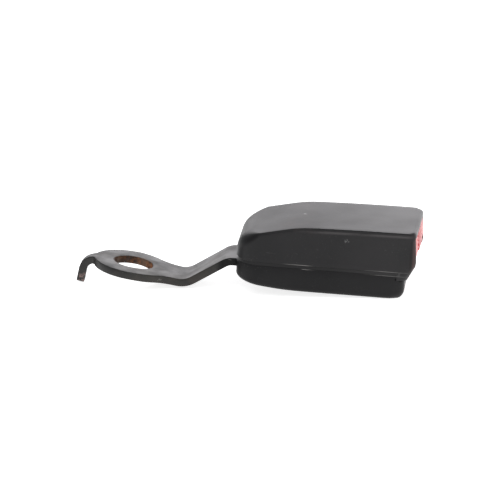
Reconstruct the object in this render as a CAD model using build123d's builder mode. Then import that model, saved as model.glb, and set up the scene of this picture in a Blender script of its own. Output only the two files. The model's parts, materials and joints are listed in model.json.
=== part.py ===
"""Push-button seat belt buckle on a cranked steel anchor plate.

Millimetres. The origin is the centre of the anchor plate's bolt hole, halfway through the plate.
+X runs along the housing from the anchor hook to the red button, +Y across it, and +Z up.
"""

from build123d import *
from math import atan, cos, radians, sin, tan
import os

# ---------------------------------------------------------------- driving dimensions
# Anchor plate: eye, hook and cranked strap
plate_thickness = 3.0
bolt_hole_diameter = 15.0
hole_edge_break = 0.3
radius_match = 0.01
eye_diameter = 30.4
strap_width = 18.0
strap_blend_radius = 16.0
eye_tilt = 7.0
lower_bend_x = 21.6
strap_rise = 31.58
strap_run = 16.3
bend_radius = 5.0
strap_end_x = 62.0
strap_end_radius = 4.0
hook_width = 4.4
hook_bend_x = 18.6
hook_lean = 9.4
hook_length = 10.2
hook_bend_radius = 4.2
hook_neck_radius = 1.5

# Housing: two moulded covers
housing_width = 38.0
housing_rear_x = 40.4
housing_front_x = 108.6
housing_bottom_z = 0.4
housing_head_room = 3.1321611
cover_wall = 1.8
top_bend_x = 64.0
top_bend_drop = 0.8
top_crown = 0.25
top_bend_radius = 14.0
rear_top_z = 20.4
top_edge_radius = 1.0
rear_corner_radius = 7.0
front_corner_radius = 3.0
least_corner_radius = 0.3
level_face_slope = 0.7
seam_z = 11.1
seam_band_height = 1.7
seam_band_depth = 0.5
lip_height = 1.8
lip_wall = 0.9
lip_clearance = 0.2
nose_z = 13.6
nose_setback = 3.0
nose_radius = 3.5
chin_z = 8.0
chin_thickness = 1.5
chin_depth = 2.2
lower_front_setback = 4.1
lower_front_radius = 4.2
lower_rear_setback = 0.3
lower_rear_z = 5.4
lower_ramp_z = 1.7
lower_ramp_start = 5.7
lower_ramp_length = 13.9
lower_rear_radius = 5.0
lower_edge_radius = 1.4
cover_joint_gap = 0.3
seam_gap = 0.05
strap_clearance = 0.15
strap_side_clearance = 0.2
snap_length = 5.0
snap_height = 0.6
snap_reach = 0.5
snap_clearance = 0.15
snap_rise = 0.15
snap_places = (58.5, 86.5)
rib_thickness = 1.3

# Steel frame: base, two side flanges and the bridge across them
sheet = 2.0
frame_width = 29.0
frame_rear_x = 44.0
frame_corner_radius = 3.0
frame_front_x = 97.0
flange_rear_x = 50.0
flange_height = 13.1
flange_low_height = 11.9
flange_root_height = 4.0
bridge_sheet = 1.5
bridge_length = 13.0
bridge_lip_drop = 6.2
bridge_bend_radius = 0.9
bridge_side_gap = 0.3
bridge_tab_length = 4.0
bridge_tab_from_front = 6.0
bridge_tab_clearance = 0.1
tooth_window_clearance = 1.2
rivet_shank_radius = 2.2
rivet_head_radius = 3.4
rivet_head_height = 1.4
rivet_head_rounding = 0.84
rivet_x = 54.5
rivet_spacing = 11.0

# Button
button_travel = 5.5
button_height = 8.3
button_proud = 0.3
button_side_gap = 0.3
button_top_gap = 0.2
button_face_thickness = 2.4
button_skirt_depth = 3.2
button_wall = 1.3
button_edge_radius = 0.7
grip_bar_count = 4
grip_bar_width = 0.9
grip_bar_pitch = 1.9
grip_bar_length = 15.0
grip_bar_height = 0.35
arm_thickness = 1.6
arm_height = 2.8
arm_low_height = 5.1
arm_bar_drop = 1.875
arm_low_length = 6.2
arm_rear_x = 71.0

# Release bar
bar_radius = 1.25
bar_x = 74.0
bar_z = 16.1
bar_end_gap = 0.7
bar_end_chamfer = 0.3
bar_fit = 0.05
bar_slot_clearance = 0.1

# Latch
pivot_x = 60.5
pivot_z = 17.4
pivot_radius = 1.4
pivot_fit = 0.05
pivot_head_radius = 2.3
pivot_head_height = 0.8
clip_thickness = 0.6
clip_radius = 2.3
clip_mouth = 1.7
latch_lift = 8.0
latch_sheet = 2.0
latch_side_gap = 0.3
latch_barrel_radius = 2.8
latch_plate_z = 17.8
latch_front_x = 92.0
latch_joggle_x = 80.0
latch_joggle_length = 4.0
latch_nose_z = 14.8
tooth_width = 11.0
tooth_thickness = 3.5
tooth_tip_z = 9.8
tooth_flat = 1.2
tooth_lead_height = 2.8
cam_inner_y = 6.2
cam_outer_y = 10.2
cam_start_x = 66.0
cam_end_x = 76.0
cam_gap = 0.12
leaf_thickness = 0.5
leaf_width = 9.0
leaf_tip_x = 67.0
leaf_foot_length = 8.0
leaf_gap = 0.1
leaf_rivet_radius = 1.3
leaf_rivet_head_radius = 2.2
leaf_rivet_head_height = 0.5

# Ejector
ejector_travel = 14.0
ejector_floor_gap = 0.25
ejector_height = 3.2
ejector_side_gap = 0.3
ejector_front_x = 94.0
ejector_rear_x = 78.0
ejector_body_length = 7.0
ejector_fork_gap = 1.0
ejector_corner_radius = 0.8
ejector_pocket_depth = 3.0
ejector_spring_radius = 1.35
ejector_spring_wire = 0.5
ejector_spring_turns = 16
guide_rod_radius = 0.75
guide_rod_end_gap = 1.0
spring_seat_front_x = 49.5
spring_seat_length = 5.0
spring_seat_width = 13.0
spring_seat_height = 4.6
seat_peg_radius = 1.1
seat_peg_spacing = 8.0
seat_peg_fit = 0.05

# Button springs
button_spring_radius = 2.1
button_spring_wire = 0.5
button_spring_turns = 6
button_spring_spacing = 16.0
spring_end_gap = 0.1

# Tongue guide and pads
slot_width = 26.0
slot_height = 4.2
slot_floor_rise = 0.05
guide_rear_gap = 0.2
guide_front_setback = 3.2
guide_side_gap = 0.1
guide_roof = 0.8
guide_lead_in = 0.72
pad_width = 4.0
pad_head_room = 0.3321611
pad_length = 9.0
pad_spacing = 20.0
pad_corner_radius = 0.5

# ---------------------------------------------------------------- derived places
half_width = housing_width / 2
half_plate = plate_thickness / 2
lower_bend_z = -lower_bend_x * tan(radians(eye_tilt))
upper_bend_x = lower_bend_x + strap_run
strap_z = lower_bend_z + strap_run * tan(radians(strap_rise))
frame_z = strap_z + half_plate
floor_z = frame_z + sheet
flange_inner_y = frame_width / 2 - sheet
flange_outer_y = frame_width / 2
flange_top_z = frame_z + flange_height
flange_low_z = frame_z + flange_low_height
bridge_top_z = flange_top_z + bridge_sheet
housing_top_z = bridge_top_z + housing_head_room
pad_thickness = housing_head_room - cover_wall - pad_head_room
bridge_rear_x = frame_front_x - bridge_length
bridge_lip_x = frame_front_x - bridge_sheet
cover_inner_y = half_width - cover_wall
band_bottom_z = seam_z - seam_band_height
lower_front_x = housing_front_x - lower_front_setback
chin_front_x = housing_front_x - nose_setback
chin_rear_x = chin_front_x - chin_depth
chin_top_z = chin_z + chin_thickness
slot_floor_z = floor_z + slot_floor_rise
slot_roof_z = slot_floor_z + slot_height
guide_top_z = slot_roof_z + guide_roof
guide_rear_x = frame_front_x + guide_rear_gap
guide_front_x = housing_front_x - guide_front_setback
mouth_half_width = cover_inner_y
button_bottom_z = guide_top_z + button_top_gap
button_top_z = button_bottom_z + button_height
mouth_top_z = button_top_z + button_top_gap
button_front_x = housing_front_x + button_proud
button_back_x = button_front_x - button_face_thickness
button_half_width = mouth_half_width - button_side_gap
skirt_rear_x = button_back_x - button_skirt_depth
ejector_floor_z = floor_z + ejector_floor_gap
ejector_top_z = ejector_floor_z + ejector_height
ejector_spring_z = (ejector_floor_z + ejector_top_z) / 2
tooth_rear_x = latch_front_x - tooth_thickness
side_plane = Plane.XZ


def save(piece, name):
    """Label one finished piece and write its STEP file."""
    piece.part.label = name
    export_step(piece.part, f"parts/{name}.step")


def coil_spring(start, direction, length, radius, wire, turns):
    """A round-wire compression spring that fills a length along a row axis."""
    height = length - wire - 2 * spring_end_gap
    first = start + direction * (wire / 2 + spring_end_gap)
    path = Helix(height / turns, height, radius, center=first, direction=direction)
    with BuildPart() as coil:
        with BuildSketch(Plane(path @ 0, z_dir=path % 0)):
            Circle(wire / 2)
        sweep(path=path, is_frenet=True)
    return coil


def plan_outline(inset, front_x, front_radius):
    """The covers' outline seen from above, with large rear corners."""
    rear_x = housing_rear_x + inset
    side_y = half_width - inset
    with BuildSketch(Plane.XY) as outline:
        with BuildLine():
            FilletPolyline(
                (front_x, -side_y),
                (front_x, side_y),
                (rear_x, side_y),
                (rear_x, -side_y),
                radius=[
                    max(front_radius - inset, least_corner_radius),
                    max(front_radius - inset, least_corner_radius),
                    rear_corner_radius - inset,
                    rear_corner_radius - inset,
                ],
                close=True,
            )
        make_face()
    return outline.sketch


os.makedirs("parts", exist_ok=True)

# ---------------------------------------------------------------- anchor plate
def plate_side_profile():
    """Side view of the folded plate, hook tip to riveted end, as a strip of even thickness."""
    hook_top = (-hook_bend_x, hook_bend_x * tan(radians(eye_tilt)))
    hook_tip = (
        hook_top[0] - hook_length * sin(radians(hook_lean)),
        hook_top[1] - hook_length * cos(radians(hook_lean)),
    )
    with BuildSketch(side_plane) as strip:
        with BuildLine() as centre:
            FilletPolyline(
                hook_tip,
                hook_top,
                (lower_bend_x, lower_bend_z),
                (upper_bend_x, strap_z),
                (strap_end_x, strap_z),
                radius=[hook_bend_radius, bend_radius, bend_radius],
            )
        trace(centre.line, line_width=plate_thickness)
    return strip.sketch


def plate_plan_profile():
    """Plan view of the plate: hook, round eye and a parallel strap with a rounded end."""
    with BuildSketch(Plane.XY) as outline:
        Circle(eye_diameter / 2)
        with Locations((strap_end_x / 2, 0)):
            Rectangle(strap_end_x, strap_width)
        ends = outline.vertices().group_by(Axis.X)[-1]
        fillet(ends, strap_end_radius)
        with Locations((-eye_diameter / 2, 0)):
            Rectangle(eye_diameter, hook_width)
        necks = outline.vertices().filter_by_position(Axis.X, eye_diameter / 4, eye_diameter / 2)
        fillet(necks, strap_blend_radius)
        hook_necks = outline.vertices().filter_by_position(Axis.X, -eye_diameter / 2, -eye_diameter / 4)
        fillet(hook_necks, hook_neck_radius)
    return outline.sketch


eye_normal = (sin(radians(eye_tilt)), 0, cos(radians(eye_tilt)))
rivet_points = [(rivet_x, side * rivet_spacing / 2) for side in (-1, 1)]

with BuildPart() as anchor_plate:
    extrude(plate_side_profile(), amount=eye_diameter, both=True)
    extrude(plate_plan_profile(), amount=2 * eye_diameter, both=True, mode=Mode.INTERSECT)
    with BuildSketch(Plane(origin=(0, 0, 0), z_dir=eye_normal)):
        Circle(bolt_hole_diameter / 2)
    extrude(amount=plate_thickness, both=True, mode=Mode.SUBTRACT)
    rims = anchor_plate.edges().filter_by(GeomType.CIRCLE).filter_by(
        lambda edge: abs(edge.radius - bolt_hole_diameter / 2) < radius_match
    )
    chamfer(rims, hole_edge_break)
    with BuildSketch(Plane.XY.offset(strap_z)):
        with Locations(*rivet_points):
            Circle(rivet_shank_radius)
    extrude(amount=plate_thickness, both=True, mode=Mode.SUBTRACT)
save(anchor_plate, "anchor_plate")

# ---------------------------------------------------------------- steel frame
def flange_profile():
    """Side view of one frame flange: low at the rear, full height over the release bar."""
    with BuildSketch(side_plane) as flange:
        with BuildLine():
            Polyline(
                (flange_rear_x, frame_z),
                (frame_front_x, frame_z),
                (frame_front_x, flange_top_z),
                (pivot_x + latch_barrel_radius * 2, flange_top_z),
                (pivot_x + latch_barrel_radius, flange_low_z),
                (flange_rear_x + flange_root_height, flange_low_z),
                (flange_rear_x, frame_z + flange_root_height),
                close=True,
            )
        make_face()
        fillet(flange.vertices().group_by(Axis.Y)[-1].sort_by(Axis.X)[-1], sheet / 2)
    return flange.sketch


bar_slot_rear_x = bar_x - button_travel - bar_radius - bar_slot_clearance
bar_slot_front_x = bar_x + bar_radius + bar_slot_clearance
bar_slot_length = bar_slot_front_x - bar_slot_rear_x
bar_slot_x = (bar_slot_front_x + bar_slot_rear_x) / 2
bar_slot_height = 2 * (bar_radius + bar_slot_clearance)
tooth_mid_x = (tooth_rear_x + latch_front_x) / 2
tab_x = frame_front_x - bridge_tab_from_front
tab_y = flange_inner_y + sheet / 2
tab_points = [(tab_x, side * tab_y) for side in (-1, 1)]
seat_peg_x = spring_seat_front_x - spring_seat_length / 2
seat_peg_points = [(seat_peg_x, side * seat_peg_spacing / 2) for side in (-1, 1)]

with BuildPart() as buckle_frame:
    with BuildSketch(Plane.XY.offset(frame_z)):
        with Locations(((frame_rear_x + frame_front_x) / 2, 0)):
            Rectangle(frame_front_x - frame_rear_x, frame_width)
    extrude(amount=sheet)
    base_corners = buckle_frame.edges().filter_by(Axis.Z).group_by(Axis.X)[0]
    fillet(base_corners, frame_corner_radius)
    extrude(flange_profile(), amount=flange_outer_y, both=True)
    with BuildSketch(Plane.YZ.offset(frame_rear_x)):
        with Locations((0, floor_z + flange_height / 2)):
            Rectangle(2 * flange_inner_y, flange_height)
    extrude(amount=frame_front_x - frame_rear_x, mode=Mode.SUBTRACT)
    corner_edges = buckle_frame.edges().filter_by(Axis.X).filter_by_position(Axis.Z, frame_z, frame_z)
    fillet(corner_edges.filter_by(lambda edge: abs(edge.center().Y) > flange_inner_y), sheet / 2)
    with BuildSketch(Plane.XY.offset(bridge_top_z)):
        with Locations(*tab_points):
            Rectangle(bridge_tab_length, sheet)
    extrude(amount=-bridge_sheet)
    with BuildSketch(Plane.XY.offset(frame_z)):
        with Locations((tooth_mid_x, 0)):
            RectangleRounded(
                tooth_thickness + 2 * tooth_window_clearance,
                tooth_width + 2 * tooth_window_clearance,
                tooth_window_clearance,
            )
        with Locations(*rivet_points):
            Circle(rivet_shank_radius)
        with Locations(*seat_peg_points):
            Circle(seat_peg_radius + seat_peg_fit)
    extrude(amount=sheet, mode=Mode.SUBTRACT)
    with BuildSketch(side_plane):
        with Locations((bar_slot_x, bar_z)):
            SlotOverall(bar_slot_length, bar_slot_height)
        with Locations((pivot_x, pivot_z)):
            Circle(pivot_radius)
    extrude(amount=frame_width, both=True, mode=Mode.SUBTRACT)
save(buckle_frame, "buckle_frame")

for side, side_name in ((-1, "right"), (1, "left")):
    with BuildPart() as rivet:
        with BuildSketch(Plane.XY.offset(frame_z - plate_thickness)):
            with Locations((rivet_x, side * rivet_spacing / 2)):
                Circle(rivet_shank_radius)
        extrude(amount=plate_thickness + sheet)
        for head_z, direction in ((floor_z, 1), (frame_z - plate_thickness, -1)):
            with BuildSketch(Plane.XY.offset(head_z)):
                with Locations((rivet_x, side * rivet_spacing / 2)):
                    Circle(rivet_head_radius)
            extrude(amount=direction * rivet_head_height)
        outer_rims = rivet.faces().sort_by(Axis.Z)[0].edges() + rivet.faces().sort_by(Axis.Z)[-1].edges()
        fillet(outer_rims, rivet_head_rounding)
    save(rivet, f"frame_rivet_{side_name}")

with BuildPart() as frame_bridge:
    with BuildSketch(Plane.XY.offset(flange_top_z)):
        with Locations((bridge_rear_x + bridge_length / 2, 0)):
            Rectangle(bridge_length, frame_width)
        with Locations(*tab_points):
            Rectangle(
                bridge_tab_length + 2 * bridge_tab_clearance,
                sheet + 2 * bridge_tab_clearance,
                mode=Mode.SUBTRACT,
            )
        with Locations((bridge_rear_x + leaf_foot_length / 2, 0)):
            Circle(leaf_rivet_radius, mode=Mode.SUBTRACT)
    extrude(amount=bridge_sheet)
    with BuildSketch(Plane.YZ.offset(bridge_lip_x)):
        with Locations((0, bridge_top_z - bridge_lip_drop / 2)):
            Rectangle(2 * (flange_inner_y - bridge_side_gap), bridge_lip_drop)
    extrude(amount=bridge_sheet)
    front_bend = frame_bridge.edges().filter_by(Axis.Y).group_by(Axis.Z)[-1].sort_by(Axis.X)[-1]
    fillet(front_bend, bridge_bend_radius)
save(frame_bridge, "frame_bridge")

# ---------------------------------------------------------------- covers
def upper_side_profile(inset=0.0):
    """Side view of the upper cover, or of its hollow: rear slope, crowned top, nose and chin."""
    crest = (top_bend_x, housing_top_z - top_bend_drop)
    nose_top = (housing_front_x, housing_top_z)
    middle = ((crest[0] + nose_top[0]) / 2, (crest[1] + nose_top[1]) / 2 + top_crown)
    with BuildSketch(side_plane) as profile:
        with BuildLine():
            Polyline(
                (chin_rear_x, seam_z),
                (housing_rear_x, seam_z),
                (housing_rear_x, rear_top_z),
                crest,
            )
            ThreePointArc(crest, middle, nose_top)
            Polyline(
                nose_top,
                (housing_front_x, nose_z),
                (chin_front_x, chin_z),
                (chin_rear_x, chin_z),
                (chin_rear_x, seam_z),
            )
        make_face()
        fillet(profile.vertices().sort_by_distance(crest)[0], top_bend_radius)
        fillet(profile.vertices().sort_by_distance((housing_front_x, nose_z))[0], nose_radius)
        if inset > 0:
            offset(amount=-inset, kind=Kind.INTERSECTION)
    return profile.sketch


def lower_side_profile(inset=0.0):
    """Side view of the lower cover, or of its hollow: rear ramp, flat floor, rounded foot."""
    rear_edge = (housing_rear_x + lower_rear_setback, lower_rear_z)
    ramp_top = (housing_rear_x + lower_ramp_start, lower_ramp_z)
    floor_start = (housing_rear_x + lower_ramp_start + lower_ramp_length, housing_bottom_z)
    foot = (lower_front_x, housing_bottom_z)
    with BuildSketch(side_plane) as profile:
        with BuildLine():
            Polyline(
                (chin_rear_x - cover_joint_gap, band_bottom_z),
                (housing_rear_x + 2 * lower_rear_setback, band_bottom_z),
                rear_edge,
                ramp_top,
                floor_start,
                foot,
                (lower_front_x, chin_z - cover_joint_gap),
                (chin_rear_x - cover_joint_gap, chin_z - cover_joint_gap),
                close=True,
            )
        make_face()
        fillet(profile.vertices().sort_by_distance(foot)[0], lower_front_radius)
        fillet(profile.vertices().sort_by_distance(ramp_top)[0], lower_rear_radius)
        if inset > 0:
            offset(amount=-inset, kind=Kind.INTERSECTION)
    return profile.sketch


tall = housing_top_z * 2
lip_inset = cover_wall + lip_clearance
band_top_z = seam_z - seam_gap
lip_top_z = seam_z + lip_height
snap_mid_z = (seam_z + lip_top_z) / 2 + snap_rise
lip_outer_y = half_width - lip_inset
rib_y = flange_inner_y + sheet / 2
strap_slot_half = strap_width / 2 + strap_side_clearance
strap_slot_bottom_z = frame_z - plate_thickness - strap_clearance
strap_slot_top_z = frame_z + strap_clearance
skirt_thickness = cover_wall - seam_band_depth
snap_points = [(x, side * lip_outer_y) for x in snap_places for side in (-1, 1)]
lower_rib_y = strap_slot_half + rib_thickness
rib_rear_x = flange_rear_x
rib_front_x = tooth_rear_x - tooth_window_clearance

with BuildPart() as upper_core:
    extrude(upper_side_profile(cover_wall), amount=half_width, both=True)
    with BuildSketch(Plane.XY.offset(chin_z)):
        with Locations(((housing_rear_x + chin_rear_x) / 2, 0)):
            Rectangle(chin_rear_x - housing_rear_x, housing_width)
    extrude(amount=seam_z + cover_wall - chin_z + lip_height)
    extrude(
        plan_outline(cover_wall, housing_front_x - cover_wall, front_corner_radius),
        amount=tall,
        mode=Mode.INTERSECT,
    )
    for rear_x, front_x, foot_z in (
        (pivot_x - latch_barrel_radius, pivot_x + latch_barrel_radius, flange_low_z),
        (bridge_rear_x, bridge_lip_x, bridge_top_z),
    ):
        with BuildSketch(Plane.XY.offset(foot_z)):
            with Locations(*[((rear_x + front_x) / 2, side * rib_y) for side in (-1, 1)]):
                Rectangle(front_x - rear_x, rib_thickness)
        extrude(amount=housing_top_z, mode=Mode.SUBTRACT)

with BuildPart() as upper_cover:
    extrude(upper_side_profile(), amount=half_width, both=True)
    extrude(plan_outline(0, housing_front_x, front_corner_radius), amount=tall, mode=Mode.INTERSECT)
    top_faces = upper_cover.faces().filter_by(
        lambda face: face.normal_at(face.center()).Z > level_face_slope
    )
    inner_edges = [e for f in top_faces for e in f.edges() if sum(e in g.edges() for g in top_faces) > 1]
    fillet([e for e in top_faces.edges() if e not in inner_edges], top_edge_radius)
    add(upper_core.part, mode=Mode.SUBTRACT)
    with BuildSketch(Plane.YZ.offset(chin_rear_x)):
        with Locations((0, (chin_top_z + mouth_top_z) / 2)):
            Rectangle(2 * mouth_half_width, mouth_top_z - chin_top_z)
    extrude(amount=housing_front_x, mode=Mode.SUBTRACT)
    with BuildSketch(Plane.XY.offset(strap_slot_top_z)):
        with Locations((housing_rear_x + seam_band_depth + skirt_thickness / 2, 0)):
            Rectangle(skirt_thickness, strap_width)
    extrude(amount=seam_z + cover_wall - strap_slot_top_z)
    with BuildSketch(Plane.XY.offset(snap_mid_z - snap_height / 2 - snap_clearance)):
        with Locations(*snap_points):
            Rectangle(snap_length + 2 * snap_clearance, 2 * (snap_reach + snap_clearance + lip_clearance))
    extrude(amount=snap_height + 2 * snap_clearance, mode=Mode.SUBTRACT)
save(upper_cover, "upper_cover")


def wall_ring(outer_inset, inner_inset, low_z, high_z):
    """An upright band that follows the covers' outline between two insets."""
    with BuildPart() as ring:
        with BuildSketch(Plane.XY.offset(low_z)):
            add(plan_outline(outer_inset, chin_rear_x - cover_joint_gap, front_corner_radius).faces())
        extrude(amount=high_z - low_z)
        with BuildSketch(Plane.XY.offset(low_z)):
            add(plan_outline(inner_inset, housing_front_x, front_corner_radius).faces())
        extrude(amount=high_z - low_z, mode=Mode.SUBTRACT)
    return ring.part


lip_ring = wall_ring(lip_inset, lip_inset + lip_wall, band_bottom_z, lip_top_z)
band_ring = wall_ring(seam_band_depth, lip_inset + lip_wall, band_bottom_z, band_top_z)

with BuildPart() as lower_core:
    extrude(lower_side_profile(cover_wall), amount=half_width, both=True)
    with BuildSketch(Plane.XY.offset(lower_rear_z)):
        with Locations(((housing_rear_x + chin_rear_x - cover_wall) / 2, 0)):
            Rectangle(chin_rear_x - cover_wall - housing_rear_x, housing_width)
    extrude(amount=seam_z - lower_rear_z)
    extrude(
        plan_outline(cover_wall, lower_front_x - cover_wall, front_corner_radius),
        amount=seam_z,
        mode=Mode.INTERSECT,
    )
    with BuildSketch(Plane.XY):
        with Locations(*[((rib_rear_x + rib_front_x) / 2, side * lower_rib_y) for side in (-1, 1)]):
            Rectangle(rib_front_x - rib_rear_x, rib_thickness)
    extrude(amount=frame_z, mode=Mode.SUBTRACT)

with BuildPart() as lower_cover:
    extrude(lower_side_profile(), amount=half_width, both=True)
    extrude(plan_outline(0, lower_front_x, front_corner_radius), amount=seam_z, mode=Mode.INTERSECT)
    with BuildSketch(Plane.YZ.offset(housing_rear_x)):
        with Locations((0, housing_bottom_z + housing_width / 2)):
            RectangleRounded(housing_width, housing_width, lower_edge_radius)
    extrude(amount=housing_front_x - housing_rear_x, mode=Mode.INTERSECT)
    add(lower_core.part, mode=Mode.SUBTRACT)
    add(band_ring)
    add(lip_ring)
    with BuildSketch(Plane.XY.offset(snap_mid_z - snap_height / 2)):
        with Locations(*snap_points):
            Rectangle(snap_length, 2 * snap_reach)
    extrude(amount=snap_height)
    with BuildSketch(Plane.YZ.offset(housing_rear_x - cover_wall)):
        with Locations((0, (strap_slot_bottom_z + tall) / 2)):
            Rectangle(2 * strap_slot_half, tall - strap_slot_bottom_z)
    extrude(amount=lip_inset + lip_wall + 3 * cover_wall, mode=Mode.SUBTRACT)
    with BuildSketch(Plane.XY.offset(chin_top_z)):
        with Locations(((frame_front_x + lower_front_x) / 2, 0)):
            Rectangle(lower_front_x - frame_front_x, 2 * mouth_half_width)
    extrude(amount=tall, mode=Mode.SUBTRACT)
save(lower_cover, "lower_cover")

# ---------------------------------------------------------------- tongue guide
with BuildPart() as tongue_guide:
    with BuildSketch(Plane.YZ.offset(guide_rear_x)):
        with Locations((0, (chin_top_z + guide_top_z) / 2)):
            Rectangle(2 * (mouth_half_width - guide_side_gap), guide_top_z - chin_top_z)
        with Locations((0, (slot_floor_z + slot_roof_z) / 2)):
            Rectangle(slot_width, slot_height, mode=Mode.SUBTRACT)
    extrude(amount=guide_front_x - guide_rear_x)
    front_face = tongue_guide.faces().sort_by(Axis.X)[-1]
    slot_rim = front_face.inner_wires()[0].edges()
    chamfer(slot_rim, guide_lead_in)
save(tongue_guide, "tongue_guide")

# ---------------------------------------------------------------- release button and its bar
bar_end_y = cover_inner_y - bar_end_gap
arm_outer_y = button_half_width
arm_mid_y = arm_outer_y - arm_thickness / 2
arm_low_z = bar_z - arm_bar_drop
arm_top_z = arm_low_z + arm_low_height
arm_high_z = arm_top_z - arm_height


def arm_profile(side):
    """Side view of one button arm: slim beside the guide, deeper where it holds the bar."""
    with BuildSketch(side_plane.offset(side * arm_mid_y)) as arm:
        with BuildLine():
            Polyline(
                (arm_rear_x, arm_low_z),
                (arm_rear_x + arm_low_length, arm_low_z),
                (arm_rear_x + arm_low_length + arm_height, arm_high_z),
                (button_back_x, arm_high_z),
                (button_back_x, arm_top_z),
                (arm_rear_x, arm_top_z),
                close=True,
            )
        make_face()
        fillet(arm.vertices().group_by(Axis.X)[0], bar_radius)
        with Locations((bar_x, bar_z)):
            Circle(bar_radius + bar_fit, mode=Mode.SUBTRACT)
    return arm.sketch


button_mid_z = (button_bottom_z + button_top_z) / 2
grip_points = [
    (0, button_mid_z + (index - (grip_bar_count - 1) / 2) * grip_bar_pitch)
    for index in range(grip_bar_count)
]

with BuildPart() as release_button:
    with BuildSketch(Plane.YZ.offset(skirt_rear_x)):
        with Locations((0, button_mid_z)):
            Rectangle(2 * button_half_width, button_height)
    extrude(amount=button_front_x - skirt_rear_x)
    fillet(release_button.faces().sort_by(Axis.X)[-1].edges(), button_edge_radius)
    with BuildSketch(Plane.YZ.offset(button_back_x)):
        with Locations((0, button_mid_z)):
            Rectangle(2 * (button_half_width - button_wall), button_height - 2 * button_wall)
    extrude(amount=-button_skirt_depth, mode=Mode.SUBTRACT)
    with BuildSketch(Plane.YZ.offset(button_front_x - button_edge_radius)):
        with Locations(*grip_points):
            SlotOverall(grip_bar_length, grip_bar_width)
    extrude(amount=button_edge_radius + grip_bar_height)
    for side in (-1, 1):
        extrude(arm_profile(side), amount=arm_thickness / 2, both=True)
save(release_button, "release_button")

with BuildPart() as release_bar:
    with BuildSketch(side_plane):
        with Locations((bar_x, bar_z)):
            Circle(bar_radius)
    extrude(amount=bar_end_y, both=True)
    chamfer(release_bar.edges().filter_by(GeomType.CIRCLE), bar_end_chamfer)
save(release_bar, "release_bar")

# ---------------------------------------------------------------- latch, pivot and leaf spring
latch_half_width = flange_inner_y - latch_side_gap
fork_half_width = tooth_width / 2 + ejector_fork_gap
cam_slope = (
    (bar_x - button_travel - pivot_x) * sin(radians(latch_lift))
    + (bar_z - pivot_z) * (1 - cos(radians(latch_lift)))
) / button_travel
cam_at_bar_z = bar_z + (bar_radius + cam_gap) / cos(atan(cam_slope))


def latch_side_profile():
    """Side view of the latch sheet: flat over the cams, stepped down to the nose."""
    joggle_end_x = latch_joggle_x + latch_joggle_length
    rear_top_z = latch_plate_z + latch_sheet
    nose_top_z = latch_nose_z + latch_sheet
    step_back = latch_sheet * tan(
        atan((latch_plate_z - latch_nose_z) / latch_joggle_length) / 2
    )
    with BuildSketch(side_plane) as profile:
        with BuildLine():
            Polyline(
                (pivot_x, latch_plate_z),
                (latch_joggle_x - step_back, latch_plate_z),
                (joggle_end_x - step_back, latch_nose_z),
                (latch_front_x, latch_nose_z),
                (latch_front_x, nose_top_z),
                (joggle_end_x, nose_top_z),
                (latch_joggle_x, rear_top_z),
                (pivot_x, rear_top_z),
                close=True,
            )
        make_face()
        with Locations((pivot_x, pivot_z)):
            Circle(latch_barrel_radius)
            Circle(pivot_radius + pivot_fit, mode=Mode.SUBTRACT)
    return profile.sketch


def tooth_side_profile():
    """Side view of the tooth: square behind, sloped in front so that a tongue lifts it."""
    with BuildSketch(side_plane) as profile:
        with BuildLine():
            Polyline(
                (tooth_rear_x, latch_nose_z + latch_sheet / 2),
                (tooth_rear_x, tooth_tip_z),
                (tooth_rear_x + tooth_flat, tooth_tip_z),
                (latch_front_x, tooth_tip_z + tooth_lead_height),
                (latch_front_x, latch_nose_z + latch_sheet / 2),
                close=True,
            )
        make_face()
    return profile.sketch


def cam_side_profile():
    """Side view of a lifting cam: the bar wedges it up as it slides back."""
    with BuildSketch(side_plane) as profile:
        with BuildLine():
            Polyline(
                (cam_start_x, latch_plate_z + latch_sheet / 2),
                (cam_start_x, cam_at_bar_z - cam_slope * (bar_x - cam_start_x)),
                (cam_end_x, cam_at_bar_z + cam_slope * (cam_end_x - bar_x)),
                (cam_end_x, latch_plate_z + latch_sheet / 2),
                close=True,
            )
        make_face()
    return profile.sketch


with BuildPart() as latch_plate:
    extrude(latch_side_profile(), amount=latch_half_width, both=True)
    extrude(tooth_side_profile(), amount=tooth_width / 2, both=True)
    extrude(cam_side_profile(), amount=cam_outer_y, both=True)
    with BuildSketch(Plane.XY.offset(ejector_floor_z)):
        with Locations(((cam_start_x + cam_end_x) / 2, 0)):
            Rectangle(cam_end_x - cam_start_x, 2 * cam_inner_y)
    extrude(amount=latch_plate_z - ejector_floor_z, mode=Mode.SUBTRACT)
    nose_corners = latch_plate.edges().filter_by(Axis.Z).group_by(Axis.X)[-1]
    fillet(nose_corners.filter_by(lambda edge: abs(edge.center().Y) > fork_half_width), latch_sheet)
save(latch_plate, "latch_plate")

with BuildPart() as latch_pivot_pin:
    with BuildSketch(side_plane.offset(-flange_outer_y - pivot_head_height)):
        with Locations((pivot_x, pivot_z)):
            Circle(pivot_head_radius)
    extrude(amount=pivot_head_height)
    with BuildSketch(side_plane.offset(-flange_outer_y)):
        with Locations((pivot_x, pivot_z)):
            Circle(pivot_radius)
    extrude(amount=frame_width + 2 * clip_thickness)
    fillet(latch_pivot_pin.faces().sort_by(Axis.Y)[-1].edges(), pivot_head_height / 2)
save(latch_pivot_pin, "latch_pivot_pin")

with BuildPart() as pivot_clip:
    with BuildSketch(side_plane.offset(flange_outer_y)):
        with Locations((pivot_x, pivot_z)):
            Circle(clip_radius)
            Circle(pivot_radius, mode=Mode.SUBTRACT)
        with Locations((pivot_x, pivot_z - clip_radius)):
            Rectangle(clip_mouth, 2 * clip_radius, mode=Mode.SUBTRACT)
    extrude(amount=clip_thickness)
save(pivot_clip, "pivot_clip")

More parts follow.
